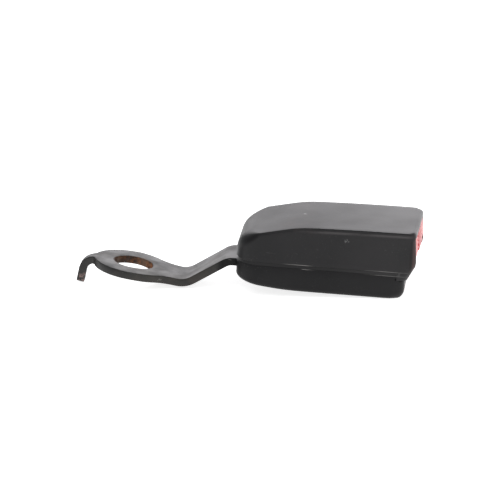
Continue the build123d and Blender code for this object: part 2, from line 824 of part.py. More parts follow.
with BuildPart() as latch_spring:
    leaf_foot_x = bridge_rear_x + leaf_foot_length
    leaf_mid_z = bridge_top_z + leaf_thickness / 2
    leaf_tip_z = latch_plate_z + latch_sheet + leaf_gap + leaf_thickness / 2
    with BuildSketch(side_plane) as strip:
        with BuildLine() as leaf_line:
            FilletPolyline(
                (leaf_foot_x, leaf_mid_z),
                (bridge_rear_x - leaf_thickness, leaf_mid_z),
                (leaf_tip_x + latch_sheet, leaf_tip_z),
                (leaf_tip_x, leaf_tip_z + leaf_thickness),
                radius=latch_sheet / 2,
            )
        trace(leaf_line.line, line_width=leaf_thickness)
    extrude(amount=leaf_width / 2, both=True)
    with BuildSketch(Plane.XY.offset(bridge_top_z)):
        with Locations((bridge_rear_x + leaf_foot_length / 2, 0)):
            Circle(leaf_rivet_radius)
    extrude(amount=leaf_thickness, mode=Mode.SUBTRACT)
save(latch_spring, "latch_spring")

with BuildPart() as leaf_rivet:
    leaf_rivet_place = (bridge_rear_x + leaf_foot_length / 2, 0)
    with BuildSketch(Plane.XY.offset(flange_top_z)):
        with Locations(leaf_rivet_place):
            Circle(leaf_rivet_radius)
    extrude(amount=bridge_sheet + leaf_thickness)
    for head_z, direction in ((bridge_top_z + leaf_thickness, 1), (flange_top_z, -1)):
        with BuildSketch(Plane.XY.offset(head_z)):
            with Locations(leaf_rivet_place):
                Circle(leaf_rivet_head_radius)
        extrude(amount=direction * leaf_rivet_head_height)
save(leaf_rivet, "leaf_rivet")

# ---------------------------------------------------------------- ejector, its seat and springs
ejector_half_width = flange_inner_y - ejector_side_gap
ejector_body_front_x = ejector_rear_x + ejector_body_length
guide_rod_end_x = ejector_rear_x - ejector_travel - guide_rod_end_gap

with BuildPart() as ejector:
    with BuildSketch(Plane.XY.offset(ejector_floor_z)):
        with Locations(((ejector_rear_x + ejector_front_x) / 2, 0)):
            Rectangle(ejector_front_x - ejector_rear_x, 2 * ejector_half_width)
        with Locations(((ejector_body_front_x + ejector_front_x) / 2, 0)):
            Rectangle(ejector_front_x - ejector_body_front_x, 2 * fork_half_width, mode=Mode.SUBTRACT)
    extrude(amount=ejector_height)
    fillet(ejector.edges().filter_by(Axis.Z), ejector_corner_radius)
    with BuildSketch(Plane.YZ.offset(ejector_rear_x)):
        with Locations((0, ejector_spring_z)):
            Circle(ejector_spring_radius - ejector_spring_wire)
    extrude(amount=ejector_pocket_depth, mode=Mode.SUBTRACT)
save(ejector, "ejector")

with BuildPart() as spring_seat:
    with BuildSketch(Plane.YZ.offset(spring_seat_front_x - spring_seat_length)):
        with Locations((0, floor_z + spring_seat_height / 2)):
            Rectangle(spring_seat_width, spring_seat_height)
    extrude(amount=spring_seat_length)
    fillet(spring_seat.edges().filter_by(Axis.X).group_by(Axis.Z)[-1], ejector_spring_radius)
    with BuildSketch(Plane.YZ.offset(spring_seat_front_x)):
        with Locations((0, ejector_spring_z)):
            Circle(guide_rod_radius)
    extrude(amount=guide_rod_end_x - spring_seat_front_x)
    with BuildSketch(Plane.XY.offset(frame_z)):
        with Locations(*seat_peg_points):
            Circle(seat_peg_radius)
    extrude(amount=sheet)
save(spring_seat, "spring_seat")

ejector_spring = coil_spring(
    Vector(spring_seat_front_x, 0, ejector_spring_z),
    Vector(1, 0, 0),
    ejector_rear_x - spring_seat_front_x,
    ejector_spring_radius,
    ejector_spring_wire,
    ejector_spring_turns,
)
save(ejector_spring, "ejector_spring")

for side, side_name in ((-1, "right"), (1, "left")):
    button_spring = coil_spring(
        Vector(frame_front_x, side * button_spring_spacing / 2, button_mid_z),
        Vector(1, 0, 0),
        button_back_x - frame_front_x,
        button_spring_radius,
        button_spring_wire,
        button_spring_turns,
    )
    save(button_spring, f"button_spring_{side_name}")

# ---------------------------------------------------------------- anti-rattle pads
pad_x = bridge_lip_x - pad_length / 2
for side, side_name in ((-1, "right"), (1, "left")):
    with BuildPart() as rattle_pad:
        with BuildSketch(Plane.XY.offset(bridge_top_z)):
            with Locations((pad_x, side * pad_spacing / 2)):
                RectangleRounded(pad_length, pad_width, pad_corner_radius)
        extrude(amount=pad_thickness)
    save(rattle_pad, f"rattle_pad_{side_name}")
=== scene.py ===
"""Looks for a worn push-button seat belt buckle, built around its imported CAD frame."""
import json
from math import atan2, cos, exp, hypot, log, pi, radians, sin, sqrt, tan

import bmesh
import bpy
from mathutils import Matrix, Vector


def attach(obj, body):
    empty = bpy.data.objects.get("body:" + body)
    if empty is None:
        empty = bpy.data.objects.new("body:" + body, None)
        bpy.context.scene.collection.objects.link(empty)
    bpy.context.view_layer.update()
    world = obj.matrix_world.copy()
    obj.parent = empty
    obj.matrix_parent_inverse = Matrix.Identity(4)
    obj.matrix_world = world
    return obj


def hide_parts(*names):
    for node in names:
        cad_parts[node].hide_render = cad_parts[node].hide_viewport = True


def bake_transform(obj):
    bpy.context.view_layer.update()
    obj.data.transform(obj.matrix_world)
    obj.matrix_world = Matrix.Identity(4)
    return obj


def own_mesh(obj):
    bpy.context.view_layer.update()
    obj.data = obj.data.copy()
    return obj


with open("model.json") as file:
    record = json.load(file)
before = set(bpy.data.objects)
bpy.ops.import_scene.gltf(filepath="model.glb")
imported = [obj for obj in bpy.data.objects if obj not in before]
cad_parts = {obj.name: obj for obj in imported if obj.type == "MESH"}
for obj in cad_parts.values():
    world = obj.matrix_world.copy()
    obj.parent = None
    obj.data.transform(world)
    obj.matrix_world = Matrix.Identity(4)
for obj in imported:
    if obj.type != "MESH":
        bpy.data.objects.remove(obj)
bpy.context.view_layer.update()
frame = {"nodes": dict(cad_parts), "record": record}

MM = 0.001

# ------------------------------------------------------------------ camera, as the photograph was taken
VIEW_AZIMUTH = radians(5.4)
VIEW_ELEVATION = radians(16.8)
NOSE_DOWN = radians(3.0)
DISTANCE = 1.8
PIXELS_PER_MM = 2.6
AIM_RIGHT = 0.04485
AIM_UP = 0.0060


def from_level(v):
    """A direction of the level room, in the frame of the part, which lies nose down in the room."""
    x, y, z = v
    c, s = cos(NOSE_DOWN), sin(NOSE_DOWN)
    return Vector((x * c - z * s, y, x * s + z * c))


def add_camera():
    right = from_level((cos(VIEW_AZIMUTH), sin(VIEW_AZIMUTH), 0))
    level = cos(VIEW_ELEVATION)
    back = from_level((sin(VIEW_AZIMUTH) * level, -cos(VIEW_AZIMUTH) * level, sin(VIEW_ELEVATION)))
    up = back.cross(right)
    place = right * AIM_RIGHT + up * AIM_UP + back * DISTANCE
    data = bpy.data.cameras.new("camera")
    data.sensor_width = 36
    data.lens = 36 * DISTANCE / (500 / PIXELS_PER_MM * MM)
    data.clip_start = 0.1
    data.clip_end = 20
    camera = bpy.data.objects.new("camera", data)
    camera.matrix_world = Matrix.Translation(place) @ Matrix((right, up, back)).transposed().to_4x4()
    bpy.context.scene.collection.objects.link(camera)
    bpy.context.scene.camera = camera


# ------------------------------------------------------------------ materials
class Finish:
    """One procedural material: object coordinates in, and colour, roughness and bump out of noise."""

    def __init__(self, name):
        self.mat = bpy.data.materials.new(name)
        self.mat.use_nodes = True
        self.tree = self.mat.node_tree
        self.shader = self.tree.nodes["Principled BSDF"]
        self.place = self.node("ShaderNodeTexCoord").outputs["Object"]

    def node(self, kind, **settings):
        node = self.tree.nodes.new(kind)
        for key, value in settings.items():
            setattr(node, key, value)
        return node

    def link(self, a, b):
        self.tree.links.new(a, b)

    def put(self, socket, value):
        if isinstance(value, bpy.types.NodeSocket):
            self.link(value, socket)
        else:
            socket.default_value = value

    def math(self, operation, a, b=0.0, c=0.0):
        node = self.node("ShaderNodeMath", operation=operation)
        for socket, value in zip(node.inputs, (a, b, c)):
            self.put(socket, value)
        return node.outputs[0]

    def axis(self, index):
        node = self.node("ShaderNodeSeparateXYZ")
        self.link(self.place, node.inputs[0])
        return node.outputs[index]

    def noise(self, scale, detail=4.0, stretch=(1, 1, 1), rough=0.55, shift=(0, 0, 0)):
        mapping = self.node("ShaderNodeMapping")
        self.link(self.place, mapping.inputs["Vector"])
        mapping.inputs["Scale"].default_value = stretch
        mapping.inputs["Location"].default_value = shift
        node = self.node("ShaderNodeTexNoise")
        self.link(mapping.outputs[0], node.inputs["Vector"])
        node.inputs["Scale"].default_value = scale
        node.inputs["Detail"].default_value = detail
        node.inputs["Roughness"].default_value = rough
        return node.outputs["Fac"]

    def distance(self, place):
        """Distance from a place given in metres."""
        node = self.node("ShaderNodeVectorMath", operation="DISTANCE")
        self.link(self.place, node.inputs[0])
        node.inputs[1].default_value = place
        return node.outputs["Value"]

    def cells(self, scale, stretch=(1, 1, 1)):
        mapping = self.node("ShaderNodeMapping")
        self.link(self.place, mapping.inputs["Vector"])
        mapping.inputs["Scale"].default_value = stretch
        node = self.node("ShaderNodeTexVoronoi", feature="F1")
        self.link(mapping.outputs[0], node.inputs["Vector"])
        node.inputs["Scale"].default_value = scale
        return node.outputs["Distance"]

    def span(self, value, low, high, to_low=0.0, to_high=1.0):
        node = self.node("ShaderNodeMapRange", interpolation_type="SMOOTHSTEP")
        for socket, v in zip(node.inputs, (value, low, high, to_low, to_high)):
            self.put(socket, v)
        return node.outputs[0]

    def near(self, value, centre, reach):
        """1 at a place, falling to 0 within reach of it."""
        away = self.math("ABSOLUTE", self.math("SUBTRACT", value, centre))
        return self.span(away, 0.0, reach, 1.0, 0.0)

    def times(self, a, b):
        return self.math("MULTIPLY", a, b)

    def mix(self, share, a, b):
        node = self.node("ShaderNodeMix", data_type="RGBA")
        self.put(node.inputs[0], share)
        self.put(node.inputs[6], a if isinstance(a, bpy.types.NodeSocket) else (*a, 1))
        self.put(node.inputs[7], b if isinstance(b, bpy.types.NodeSocket) else (*b, 1))
        return node.outputs[2]

    def bump(self, *layers):
        """Layers of (height, depth in millimetres, strength)."""
        normal = None
        for height, depth, strength in layers:
            node = self.node("ShaderNodeBump")
            node.inputs["Strength"].default_value = strength
            node.inputs["Distance"].default_value = depth * MM
            self.link(height, node.inputs["Height"])
            if normal is not None:
                self.link(normal, node.inputs["Normal"])
            normal = node.outputs[0]
        self.link(normal, self.shader.inputs["Normal"])

    def done(self, color, roughness, **fixed):
        self.put(self.shader.inputs["Base Color"], color)
        self.put(self.shader.inputs["Roughness"], roughness)
        for name, value in fixed.items():
            self.shader.inputs[name.replace("_", " ")].default_value = value
        return self.mat


# the fourth argument scales the stains and scuff spots, and also the painted shade, painted light and painted
# highlight on the upper cover
def cover_plastic(name, dark, light, smudge_and_painted_light, spec):
    """Moulded black plastic: fine spark grain, dusty film and scuffs, with painted light and shade: darker towards the
    rear, a lightened seam band, painted glints on the seam lips in places and a painted highlight under the top edge.
    """
    f = Finish(name)
    x, y, z = f.axis(0), f.axis(1), f.axis(2)
    cloudy = f.noise(38, 5, shift=(0.3, 0.1, 0.7))
    grain = f.noise(2600, 2)
    pebble = f.cells(1500)
    scuffs = f.noise(420, 3, stretch=(0.12, 1, 1), rough=0.65)
    # random cloudy mottle plus painted shade: the plastic runs darker towards the rear and paler towards the front
    mottle_and_rear_shade = f.span(f.math("ADD", cloudy, f.span(x, 0.044, 0.1, -0.16, 0.13)), 0.3, 0.72)
    color = f.mix(mottle_and_rear_shade, dark, light)
    top = f.span(z, 0.0215, 0.0235)
    stain = f.times(f.span(f.noise(110, 4, shift=(0.02, 0.4, 0)), 0.4, 0.66), f.near(x, 0.0615, 0.011))
    color = f.mix(f.times(f.times(stain, top), 0.3 * smudge_and_painted_light), color, (0.055, 0.031, 0.026))
    dust = f.times(f.span(f.noise(1700, 3), 0.6, 0.75), f.span(f.noise(60, 2), 0.42, 0.62))
    color = f.mix(f.times(dust, 0.12), color, (0.16, 0.15, 0.145))
    scratch = f.times(f.span(scuffs, 0.66, 0.74), f.span(f.noise(75, 2, shift=(1, 2, 3)), 0.5, 0.62))
    color = f.mix(f.times(scratch, 0.22), color, (0.17, 0.165, 0.16))
    for place, reach, tone in (((0.0649, 0.0013, 0.0255), 0.0013, 0.2), ((0.0826, -0.019, 0.0221), 0.0013, 0.14)):
        spot = f.near(f.distance(place), 0.0, reach)
        color = f.mix(f.times(f.times(spot, f.span(f.noise(1500, 2), 0.42, 0.6)), smudge_and_painted_light), color, (tone, tone, tone))
    side = f.span(f.math("ABSOLUTE", y), 0.0178, 0.0186)
    flank = f.times(f.span(f.math("ABSOLUTE", y), 0.0163, 0.0178), f.span(z, 0.0245, 0.0235))
    # painted shade: a thin near-black line down the front corners and mouth edges, at about x 107 mm
    color = f.mix(f.times(f.near(x, 0.1071, 0.0008), f.times(flank, 0.9 * smudge_and_painted_light)), color, (0.003, 0.0008, 0.0008))
    # painted reddish light: the front corner band beyond that line is painted a paler reddish brown
    color = f.mix(f.times(f.span(x, 0.1074, 0.1081), f.times(flank, 0.8 * smudge_and_painted_light)), color, (0.045, 0.021, 0.0195))
    # painted light: the recessed seam band is painted paler than the walls, and paler still towards the front, so the
    # shade under the lip does not show
    band = f.times(f.times(f.span(z, 0.0098, 0.0099), f.span(z, 0.01115, 0.01105)), f.span(x, 0.1036, 0.1034))
    color = f.mix(band, color, f.mix(f.span(x, 0.07, 0.1), (0.018, 0.0175, 0.018), (0.03, 0.029, 0.0295)))
    # painted highlight: a pale streaky line along the side walls just under the top edge, from about x 60 mm forwards
    shoulder = f.times(f.near(f.math("MULTIPLY_ADD", x, -0.02, z), 0.0234, 0.0009), f.span(x, 0.06, 0.078))
    color = f.mix(f.times(f.times(shoulder, smudge_and_painted_light), f.span(f.noise(330, 3, stretch=(0.3, 1, 1)), 0.2, 0.55)), color, (0.045, 0.041, 0.042))
    # painted glints: pale short runs along the upper and lower seam lips, near x 65 mm and x 98 mm
    ragged = f.math("ADD", x, f.math("MULTIPLY_ADD", f.noise(260, 3), 0.008, -0.004))
    rear_run = f.near(ragged, 0.0652, 0.0085)
    front_run = f.near(ragged, 0.0985, 0.0105)
    upper_lip = f.times(f.near(z, 0.01125, 0.00016), f.math("MAXIMUM", rear_run, f.times(front_run, 0.8)))
    low_run = f.math("MAXIMUM", f.times(rear_run, f.span(x, 0.0655, 0.067)), f.times(front_run, 0.7))
    lower_lip = f.times(f.near(z, 0.00968, 0.00016), low_run)
    seam_glint_paint = f.times(f.math("ADD", upper_lip, lower_lip), f.times(side, 0.8))
    color = f.mix(f.math("MINIMUM", seam_glint_paint, 1.0), color, (0.27, 0.26, 0.25))
    rough = f.math("ADD", f.span(cloudy, 0.3, 0.7, 0.385, 0.455), f.span(x, 0.075, 0.104, 0.0, -0.05))
    f.bump((pebble, 0.035, 0.22), (grain, 0.02, 0.25), (scuffs, 0.03, 0.12))
    return f.done(color, rough, Specular_IOR_Level=spec)


def anchor_steel():
    """Dull coated steel plate: mottled grey film, rust in the bolt hole, a bare rubbed hook tip, and painted shade on
    the strap edges by the housing.
    """
    f = Finish("anchor_coated_steel")
    x, y, z = f.axis(0), f.axis(1), f.axis(2)
    mottle = f.noise(140, 6, rough=0.6)
    speck = f.noise(1900, 3)
    color = f.mix(f.span(mottle, 0.32, 0.7), (0.009, 0.0088, 0.0088), (0.02, 0.0195, 0.0175))
    tan_film = f.times(f.span(f.noise(60, 3, shift=(0.5, 0, 0.2)), 0.45, 0.65), 0.5)
    color = f.mix(tan_film, color, (0.042, 0.034, 0.026))
    color = f.mix(f.times(f.span(speck, 0.62, 0.72), 0.25), color, (0.12, 0.117, 0.11))
    flat = f.math("SQRT", f.math("ADD", f.times(x, x), f.times(y, y)))
    ragged = f.math("ADD", flat, f.times(f.noise(420, 4), 0.0011))
    bore = f.times(f.span(ragged, 0.0079, 0.00845, 1.0, 0.0), f.span(flat, 0.003, 0.004))
    # the rust runs from dark brown to ochre, darker towards the hook side of the hole (-x)
    ochre = f.times(f.span(f.noise(700, 5, rough=0.7), 0.35, 0.7), f.span(x, -0.006, 0.006, 0.25, 1.0))
    rust = f.mix(ochre, (0.028, 0.014, 0.008), (0.24, 0.088, 0.03))
    color = f.mix(bore, color, rust)
    bleed = f.times(f.span(flat, 0.0078, 0.0112, 1.0, 0.0), f.span(f.noise(230, 4, shift=(2, 1, 0)), 0.5, 0.62))
    color = f.mix(f.times(bleed, 0.5), color, (0.14, 0.085, 0.055))
    tip = f.times(f.span(z, -0.0052, -0.0028, 1.0, 0.0), f.span(f.noise(700, 3), 0.52, 0.62))
    color = f.mix(f.times(tip, 0.6), color, (0.26, 0.17, 0.155))
    # painted shade: the strap's side edges next to the housing are painted near black and made rougher there
    painted_housing_shade = f.times(f.span(x, 0.032, 0.035), f.span(f.math("ABSOLUTE", y), 0.0086, 0.0089))
    color = f.mix(painted_housing_shade, color, (0.003, 0.003, 0.003))
    nicks = f.span(f.noise(800, 3, stretch=(0.3, 1, 1)), 0.68, 0.76)
    color = f.mix(f.times(nicks, 0.35), color, (0.22, 0.21, 0.195))
    rough = f.span(mottle, 0.3, 0.7, 0.34, 0.5)
    rough = f.math("ADD", rough, f.times(f.math("MAXIMUM", bore, painted_housing_shade), 0.4))
    f.bump((mottle, 0.05, 0.2), (speck, 0.03, 0.3), (f.noise(900, 4), 0.04, 0.15))
    return f.done(color, rough, Specular_IOR_Level=0.315)


def button_plastic():
    """Red moulded plastic, rubbed paler on its raised parts, with painted pale pink highlights on the face."""
    f = Finish("button_red_plastic")
    x = f.axis(0)
    cloudy = f.noise(120, 4)
    color = f.mix(cloudy, (0.5, 0.018, 0.02), (0.66, 0.035, 0.032))
    ends = f.span(f.math("ABSOLUTE", f.axis(1)), 0.008, 0.0135)
    # painted highlight, partly real rubbing: the front face is painted pale pink in patches, more so towards its ends
    rubbed_and_highlight = f.times(f.span(x, 0.1075, 0.109), f.span(f.math("ADD", f.noise(380, 4), f.times(ends, 0.12)), 0.42, 0.66))
    color = f.mix(f.times(rubbed_and_highlight, 0.35), color, (0.8, 0.36, 0.34))
    dirt = f.times(f.span(f.noise(900, 3), 0.6, 0.72), 0.4)
    color = f.mix(dirt, color, (0.16, 0.02, 0.018))
    f.bump((f.noise(1800, 2), 0.02, 0.2), (cloudy, 0.05, 0.1))
    return f.done(color, f.span(cloudy, 0.3, 0.7, 0.3, 0.42), Specular_IOR_Level=0.5)


def plain_plastic(name, dark, light, low, high):
    """Smooth moulded plastic with a slight mottle and fine grain."""
    f = Finish(name)
    cloudy = f.noise(150, 4)
    color = f.mix(f.span(cloudy, 0.35, 0.65), dark, light)
    color = f.mix(f.times(f.span(f.noise(1400, 3), 0.62, 0.74), 0.3), color, tuple(c * 0.6 + 0.04 for c in light))
    f.bump((f.noise(2400, 2), 0.015, 0.2), (cloudy, 0.03, 0.1))
    return f.done(color, f.span(cloudy, 0.3, 0.7, low, high))


def bare_steel(name, dark, light, low, high, stretch=(1, 0.08, 1)):
    """Pressed or drawn steel with fine drawing lines and a little tarnish."""
    f = Finish(name)
    lines = f.noise(1300, 3, stretch=stretch)
    tarnish = f.noise(170, 5, rough=0.65)
    color = f.mix(f.span(lines, 0.3, 0.7), dark, light)
    color = f.mix(f.times(f.span(tarnish, 0.52, 0.72), 0.5), color, tuple(c * 0.55 for c in dark))
    f.bump((lines, 0.012, 0.25), (tarnish, 0.02, 0.12))
    return f.done(color, f.span(tarnish, 0.3, 0.7, low, high), Metallic=1.0)


def dress(obj, mat):
    """Give an object one material in every slot it has."""
    if not obj.data.materials:
        obj.data.materials.append(mat)
    for index in range(len(obj.data.materials)):
        obj.data.materials[index] = mat
    return obj


# ------------------------------------------------------------------ mesh building
def smoothed(a, b, reach):
    """The lower of two heights, blended over reach where they cross."""
    return -reach * log(exp(-a / reach) + exp(-b / reach))


def ease(value, low, high):
    t = min(max((value - low) / (high - low), 0.0), 1.0)
    return t * t * (3 - 2 * t)


def plan_ring(rear_x, front_x, half_y, rear_r, front_r, across=14, corner=10, along=26, extra=()):
    """Points and outward directions round a plan outline, from the rear right corner, clockwise from above."""
    points = []
    start, end = rear_x + rear_r, front_x - front_r
    stops = sorted([start + (end - start) * k / along for k in range(along)] + list(extra))
    for k in range(across):
        y = (k / across * 2 - 1) * (half_y - rear_r)
        points.append((rear_x, y, -1.0, 0.0))
    for side in (1, -1):
        half = []
        for k in range(corner):
            t = k / corner * pi / 2
            half.append((rear_x + rear_r * (1 - cos(t)), half_y - rear_r * (1 - sin(t)), -cos(t), sin(t)))
        half += [(x, half_y, 0.0, 1.0) for x in stops]
        for k in range(corner):
            t = k / corner * pi / 2
            half.append((front_x - front_r * (1 - sin(t)), half_y - front_r * (1 - cos(t)), sin(t), cos(t)))
        if side == 1:
            points += half
            for k in range(across):
                y = (1 - k / across * 2) * (half_y - front_r)
                points.append((front_x, y, 1.0, 0.0))
        else:
            half = half[1:] + [(front_x, half_y - front_r, 1.0, 0.0)]
            points += [(x, -y, nx, -ny) for x, y, nx, ny in reversed(half)]
    return points, across, 2 * corner + len(stops)


def lofted(name, plan, levels, lean, caps):
    """A closed skin through rings: each level gives (inset, height) at a plan point, and caps close both ends."""
    ring_points, across, side = plan
    mesh = bmesh.new()
    rings = []
    for level in levels:
        ring = []
        for x, y, nx, ny in ring_points:
            inset, z = level(x, y, nx)
            px, py = x - nx * inset, y - ny * inset
            ring.append(mesh.verts.new(((px + lean(x, py, z)) * MM, py * MM, z * MM)))
        rings.append(ring)
    count = len(ring_points)
    for low, high in zip(rings, rings[1:]):
        for i in range(count):
            j = (i + 1) % count
            mesh.faces.new((low[i], low[j], high[j], high[i]))
    for ring, height in ((rings[0], caps[0]), (rings[-1], caps[1])):
        rows = [[ring[k] for k in range(across + 1)]]
        for j in range(1, side):
            left, right = ring[across + j], ring[(2 * across + 2 * side - j) % count]
            row = [right]
            for k in range(1, across):
                spot = right.co.lerp(left.co, k / across)
                spot.z = height(spot.x / MM) * MM if height else spot.z
                row.append(mesh.verts.new(spot))
            rows.append(row + [left])
        rows.append([ring[2 * across + side - k] for k in range(across + 1)])
        for a, b in zip(rows, rows[1:]):
            for k in range(across):
                mesh.faces.new((a[k], a[k + 1], b[k + 1], b[k]))
    bmesh.ops.recalc_face_normals(mesh, faces=mesh.faces)
    return as_object(name, mesh)


def as_object(name, mesh):
    data = bpy.data.meshes.new(name)
    mesh.to_mesh(data)
    mesh.free()
    obj = bpy.data.objects.new(name, data)
    bpy.context.scene.collection.objects.link(obj)
    return obj


def box_object(low, high, name="cutter"):
    mesh = bmesh.new()
    bmesh.ops.create_cube(mesh, size=1)
    for vert in mesh.verts:
        vert.co = Vector([(low[i] + (vert.co[i] + 0.5) * (high[i] - low[i])) * MM for i in range(3)])
    return as_object(name, mesh)


def carve(obj, *cutters, operation="DIFFERENCE"):
    """Cut other closed meshes out of one, or join them to it, and drop them."""
    for cutter in cutters:
        modifier = obj.modifiers.new("cut", "BOOLEAN")
        modifier.operation = operation
        modifier.solver = "EXACT"
        modifier.object = cutter
        settle(obj)
        bpy.data.objects.remove(cutter)
    return obj


def settle(obj):
    """Apply every modifier."""
    bpy.context.view_layer.update()
    seen = obj.evaluated_get(bpy.context.evaluated_depsgraph_get())
    data = bpy.data.meshes.new_from_object(seen)
    obj.modifiers.clear()
    old = obj.data
    obj.data = data
    data.name = obj.name
    bpy.data.meshes.remove(old)
    return obj


def soften(obj, width, angle=35, segments=2):
    """Round the sharp edges a little and shade the rest smooth."""
    mesh = bmesh.new()
    mesh.from_mesh(obj.data)
    bmesh.ops.remove_doubles(mesh, verts=mesh.verts, dist=0.004 * MM)
    bmesh.ops.dissolve_degenerate(mesh, edges=mesh.edges, dist=0.01 * MM)
    mesh.to_mesh(obj.data)
    mesh.free()
    if width:
        modifier = obj.modifiers.new("edges", "BEVEL")
        modifier.width = width * MM
        modifier.segments = segments
        modifier.limit_method = "ANGLE"
        modifier.angle_limit = radians(angle)
        modifier.use_clamp_overlap = True
        settle(obj)
    for face in obj.data.polygons:
        face.use_smooth = True
    obj.data.set_sharp_from_angle(angle=radians(angle))
    return obj


# ------------------------------------------------------------------ the two covers
REAR_X, FRONT_X, HALF_Y = 40.4, 108.95, 19.0
REAR_CORNER, FRONT_CORNER = 9.0, 3.2
REAR_RIM = 6.0
SEAM_Z, BAND_Z, CHIN_Z, NOSE_Z, TOP_Z = 11.1, 9.8, 8.0, 13.6, 26.6
WALL = 1.8
STEP_X = 103.6
FRONT_DRAFT = 0.075
FRONT_SKEW = 0.02
CHIN_SETBACK = 2.35


def top_height(x):
    """Height of the upper cover's crowned top, with its soft bend to the rear slope."""
    slope = 20.4 + (x - REAR_X) * (5.4 / 23.6)
    t = (x - 64.0) / (FRONT_X - 64.0)
    crown = 25.8 + 0.8 * t + 0.9 * t * (1 - t)
    return smoothed(slope, crown, 0.34)


def front_lean(x, y, z):
    """How far the front leans out of the upright plan, and how far the nose slants back below it."""
    share = ease(x, 99.0, 105.6)
    out = (TOP_Z - z) * FRONT_DRAFT
    back = 0.63 - (NOSE_Z - z) * (CHIN_SETBACK + 0.63) / (NOSE_Z - CHIN_Z)
    return share * (smoothed(out, back, 0.12) + y * FRONT_SKEW)


def upright(x, y, z):
    return 0.0


def rim_radius(x, nx):
    """Rounding of the top's edge: small along the sides, fuller at the front corners, large at the rear."""
    rear = max(0.0, -nx)
    corner = max(0.0, nx) * sqrt(max(0.0, 1.0 - nx * nx))
    return 1.0 + (REAR_RIM - 1.0) * rear * (1.6 - 0.6 * rear) + 1.3 * corner + 0.3 * ease(x, 104.0, 108.5)


def seam_radius(x):
    return 0.11 + 0.4 * (1 - ease(x, 40.6, 43.5))


def upper_foot(x):
    """Lower edge of the upper cover: the seam, and the chin in front of it."""
    return SEAM_Z if x < STEP_X else CHIN_Z


def upper_cover():
    plan = plan_ring(REAR_X, FRONT_X, HALF_Y, REAR_CORNER, FRONT_CORNER, extra=(STEP_X - 0.06, STEP_X + 0.06))
    levels = []
    for turn in (0.0, 0.35, 0.7, 1.0):
        def bottom(x, y, nx, turn=turn):
            r = seam_radius(x)
            angle = turn * pi / 2
            return r * (1 - sin(angle)), upper_foot(x) + r * (1 - cos(angle))
        levels.append(bottom)
    for share in (0.1, 0.17, 0.3, 0.5, 0.7, 0.88, 1.0):
        def wall(x, y, nx, share=share):
            low = SEAM_Z + seam_radius(x)
            high = top_height(x) - rim_radius(x, nx)
            return 0.0, low + (high - low) * share
        levels.append(wall)
    for k in range(1, 9):
        def rim(x, y, nx, k=k):
            r = rim_radius(x, nx)
            angle = k / 8 * pi / 2
            inset = r * (1 - cos(angle))
            return inset, top_height(x - nx * inset) - r * (1 - sin(angle))
        levels.append(rim)
    skin = lofted("upper_cover_skin", plan, levels, front_lean, (None, top_height))
    hollow_plan = plan_ring(REAR_X + WALL, STEP_X, HALF_Y - WALL, REAR_CORNER - WALL, 2.6)
    hollow_levels = [lambda x, y, nx: (0.0, CHIN_Z - 3), lambda x, y, nx: (0.0, top_height(x) - WALL - 2.2),
                     lambda x, y, nx: (0.6, top_height(x) - WALL - 0.6), lambda x, y, nx: (2.2, top_height(x) - WALL)]
    hollow = lofted("hollow", hollow_plan, hollow_levels, upright, (None, lambda x: top_height(x) - WALL))
    mouth = box_object((STEP_X - 7, -17.0, 5.5), (120, 17.0, 24.75))
    carve(skin, hollow, mouth)
    skirt = box_object((41.3, -9.0, 9.05), (42.8, 9.0, 13.0))
    carve(skin, skirt, operation="UNION")
    soften(skin, 0.22, angle=38)
    return skin


def lower_height(x):
    """Height of the lower cover's underside: rear ramp, flat floor."""
    ramp = 3.0 - (x - REAR_X) * (1.5 / 6.4)
    run = 1.75 - (x - 46.0) * (1.35 / 14.0)
    slope = -smoothed(-ramp, -run, 0.5)
    return -smoothed(-slope, -0.4, 0.25)


def foot_radius(x):
    return 1.7 + 2.0 * ease(x, 99.0, 104.0)


def lower_cover():
    front = 105.3
    plan = plan_ring(REAR_X + 0.1, front, HALF_Y, REAR_CORNER, FRONT_CORNER)
    inner = WALL + 1.1
    levels = []
    for k in range(8, 0, -1):
        def foot(x, y, nx, k=k):
            r = foot_radius(x)
            angle = k / 8 * pi / 2
            return min(r, 3.1 if x > 90 else r) * (1 - cos(angle)), lower_height(x) + r * (1 - sin(angle))
        levels.append(foot)
    for share in (0.0, 0.5, 1.0):
        def wall(x, y, nx, share=share):
            low = lower_height(x) + foot_radius(x)
            high = BAND_Z - seam_radius(x)
            return 0.0, low + (high - low) * share
        levels.append(wall)
    for turn in (0.35, 0.7, 1.0):
        def shoulder(x, y, nx, turn=turn):
            r = seam_radius(x)
            angle = turn * pi / 2
            return r * (1 - cos(angle)), BAND_Z - r * (1 - sin(angle))
        levels.append(shoulder)
    def band(x):
        return seam_radius(x) + 0.03
    levels.append(lambda x, y, nx: (band(x), BAND_Z))
    levels.append(lambda x, y, nx: (band(x), SEAM_Z - 0.05))
    levels.append(lambda x, y, nx: (inner - 0.9, SEAM_Z - 0.05))
    levels.append(lambda x, y, nx: (inner - 0.9, SEAM_Z + 1.8))
    levels.append(lambda x, y, nx: (inner, SEAM_Z + 1.8))
    levels.append(lambda x, y, nx: (inner, max(lower_height(x) + WALL, 2.4)))
    skin = lofted("lower_cover_skin", plan, levels, upright, (lower_height, None))
    strap = box_object((38, -9.2, 5.7), (47.5, 9.2, 30))
    nose = box_object((103.1, -30, 7.75), (120, 30, 30))
    mouth = box_object((97, -17.2, 9.5), (120, 17.2, 30))
    carve(skin, strap, mouth, nose)
    soften(skin, 0.12, angle=38)
    return skin


# ------------------------------------------------------------------ anchor plate
PLATE = 3.0
EYE_TILT = radians(7.0)
CENTRE_LINE = [(-20.2, -7.78), (-18.6, 2.15), (1.5, -0.15), (20.9, -3.3), (37.1, 7.37), (62.0, 7.37)]
BENDS = (4.6, 60.0, 9.0, 6.0)
TWIST = 0.03


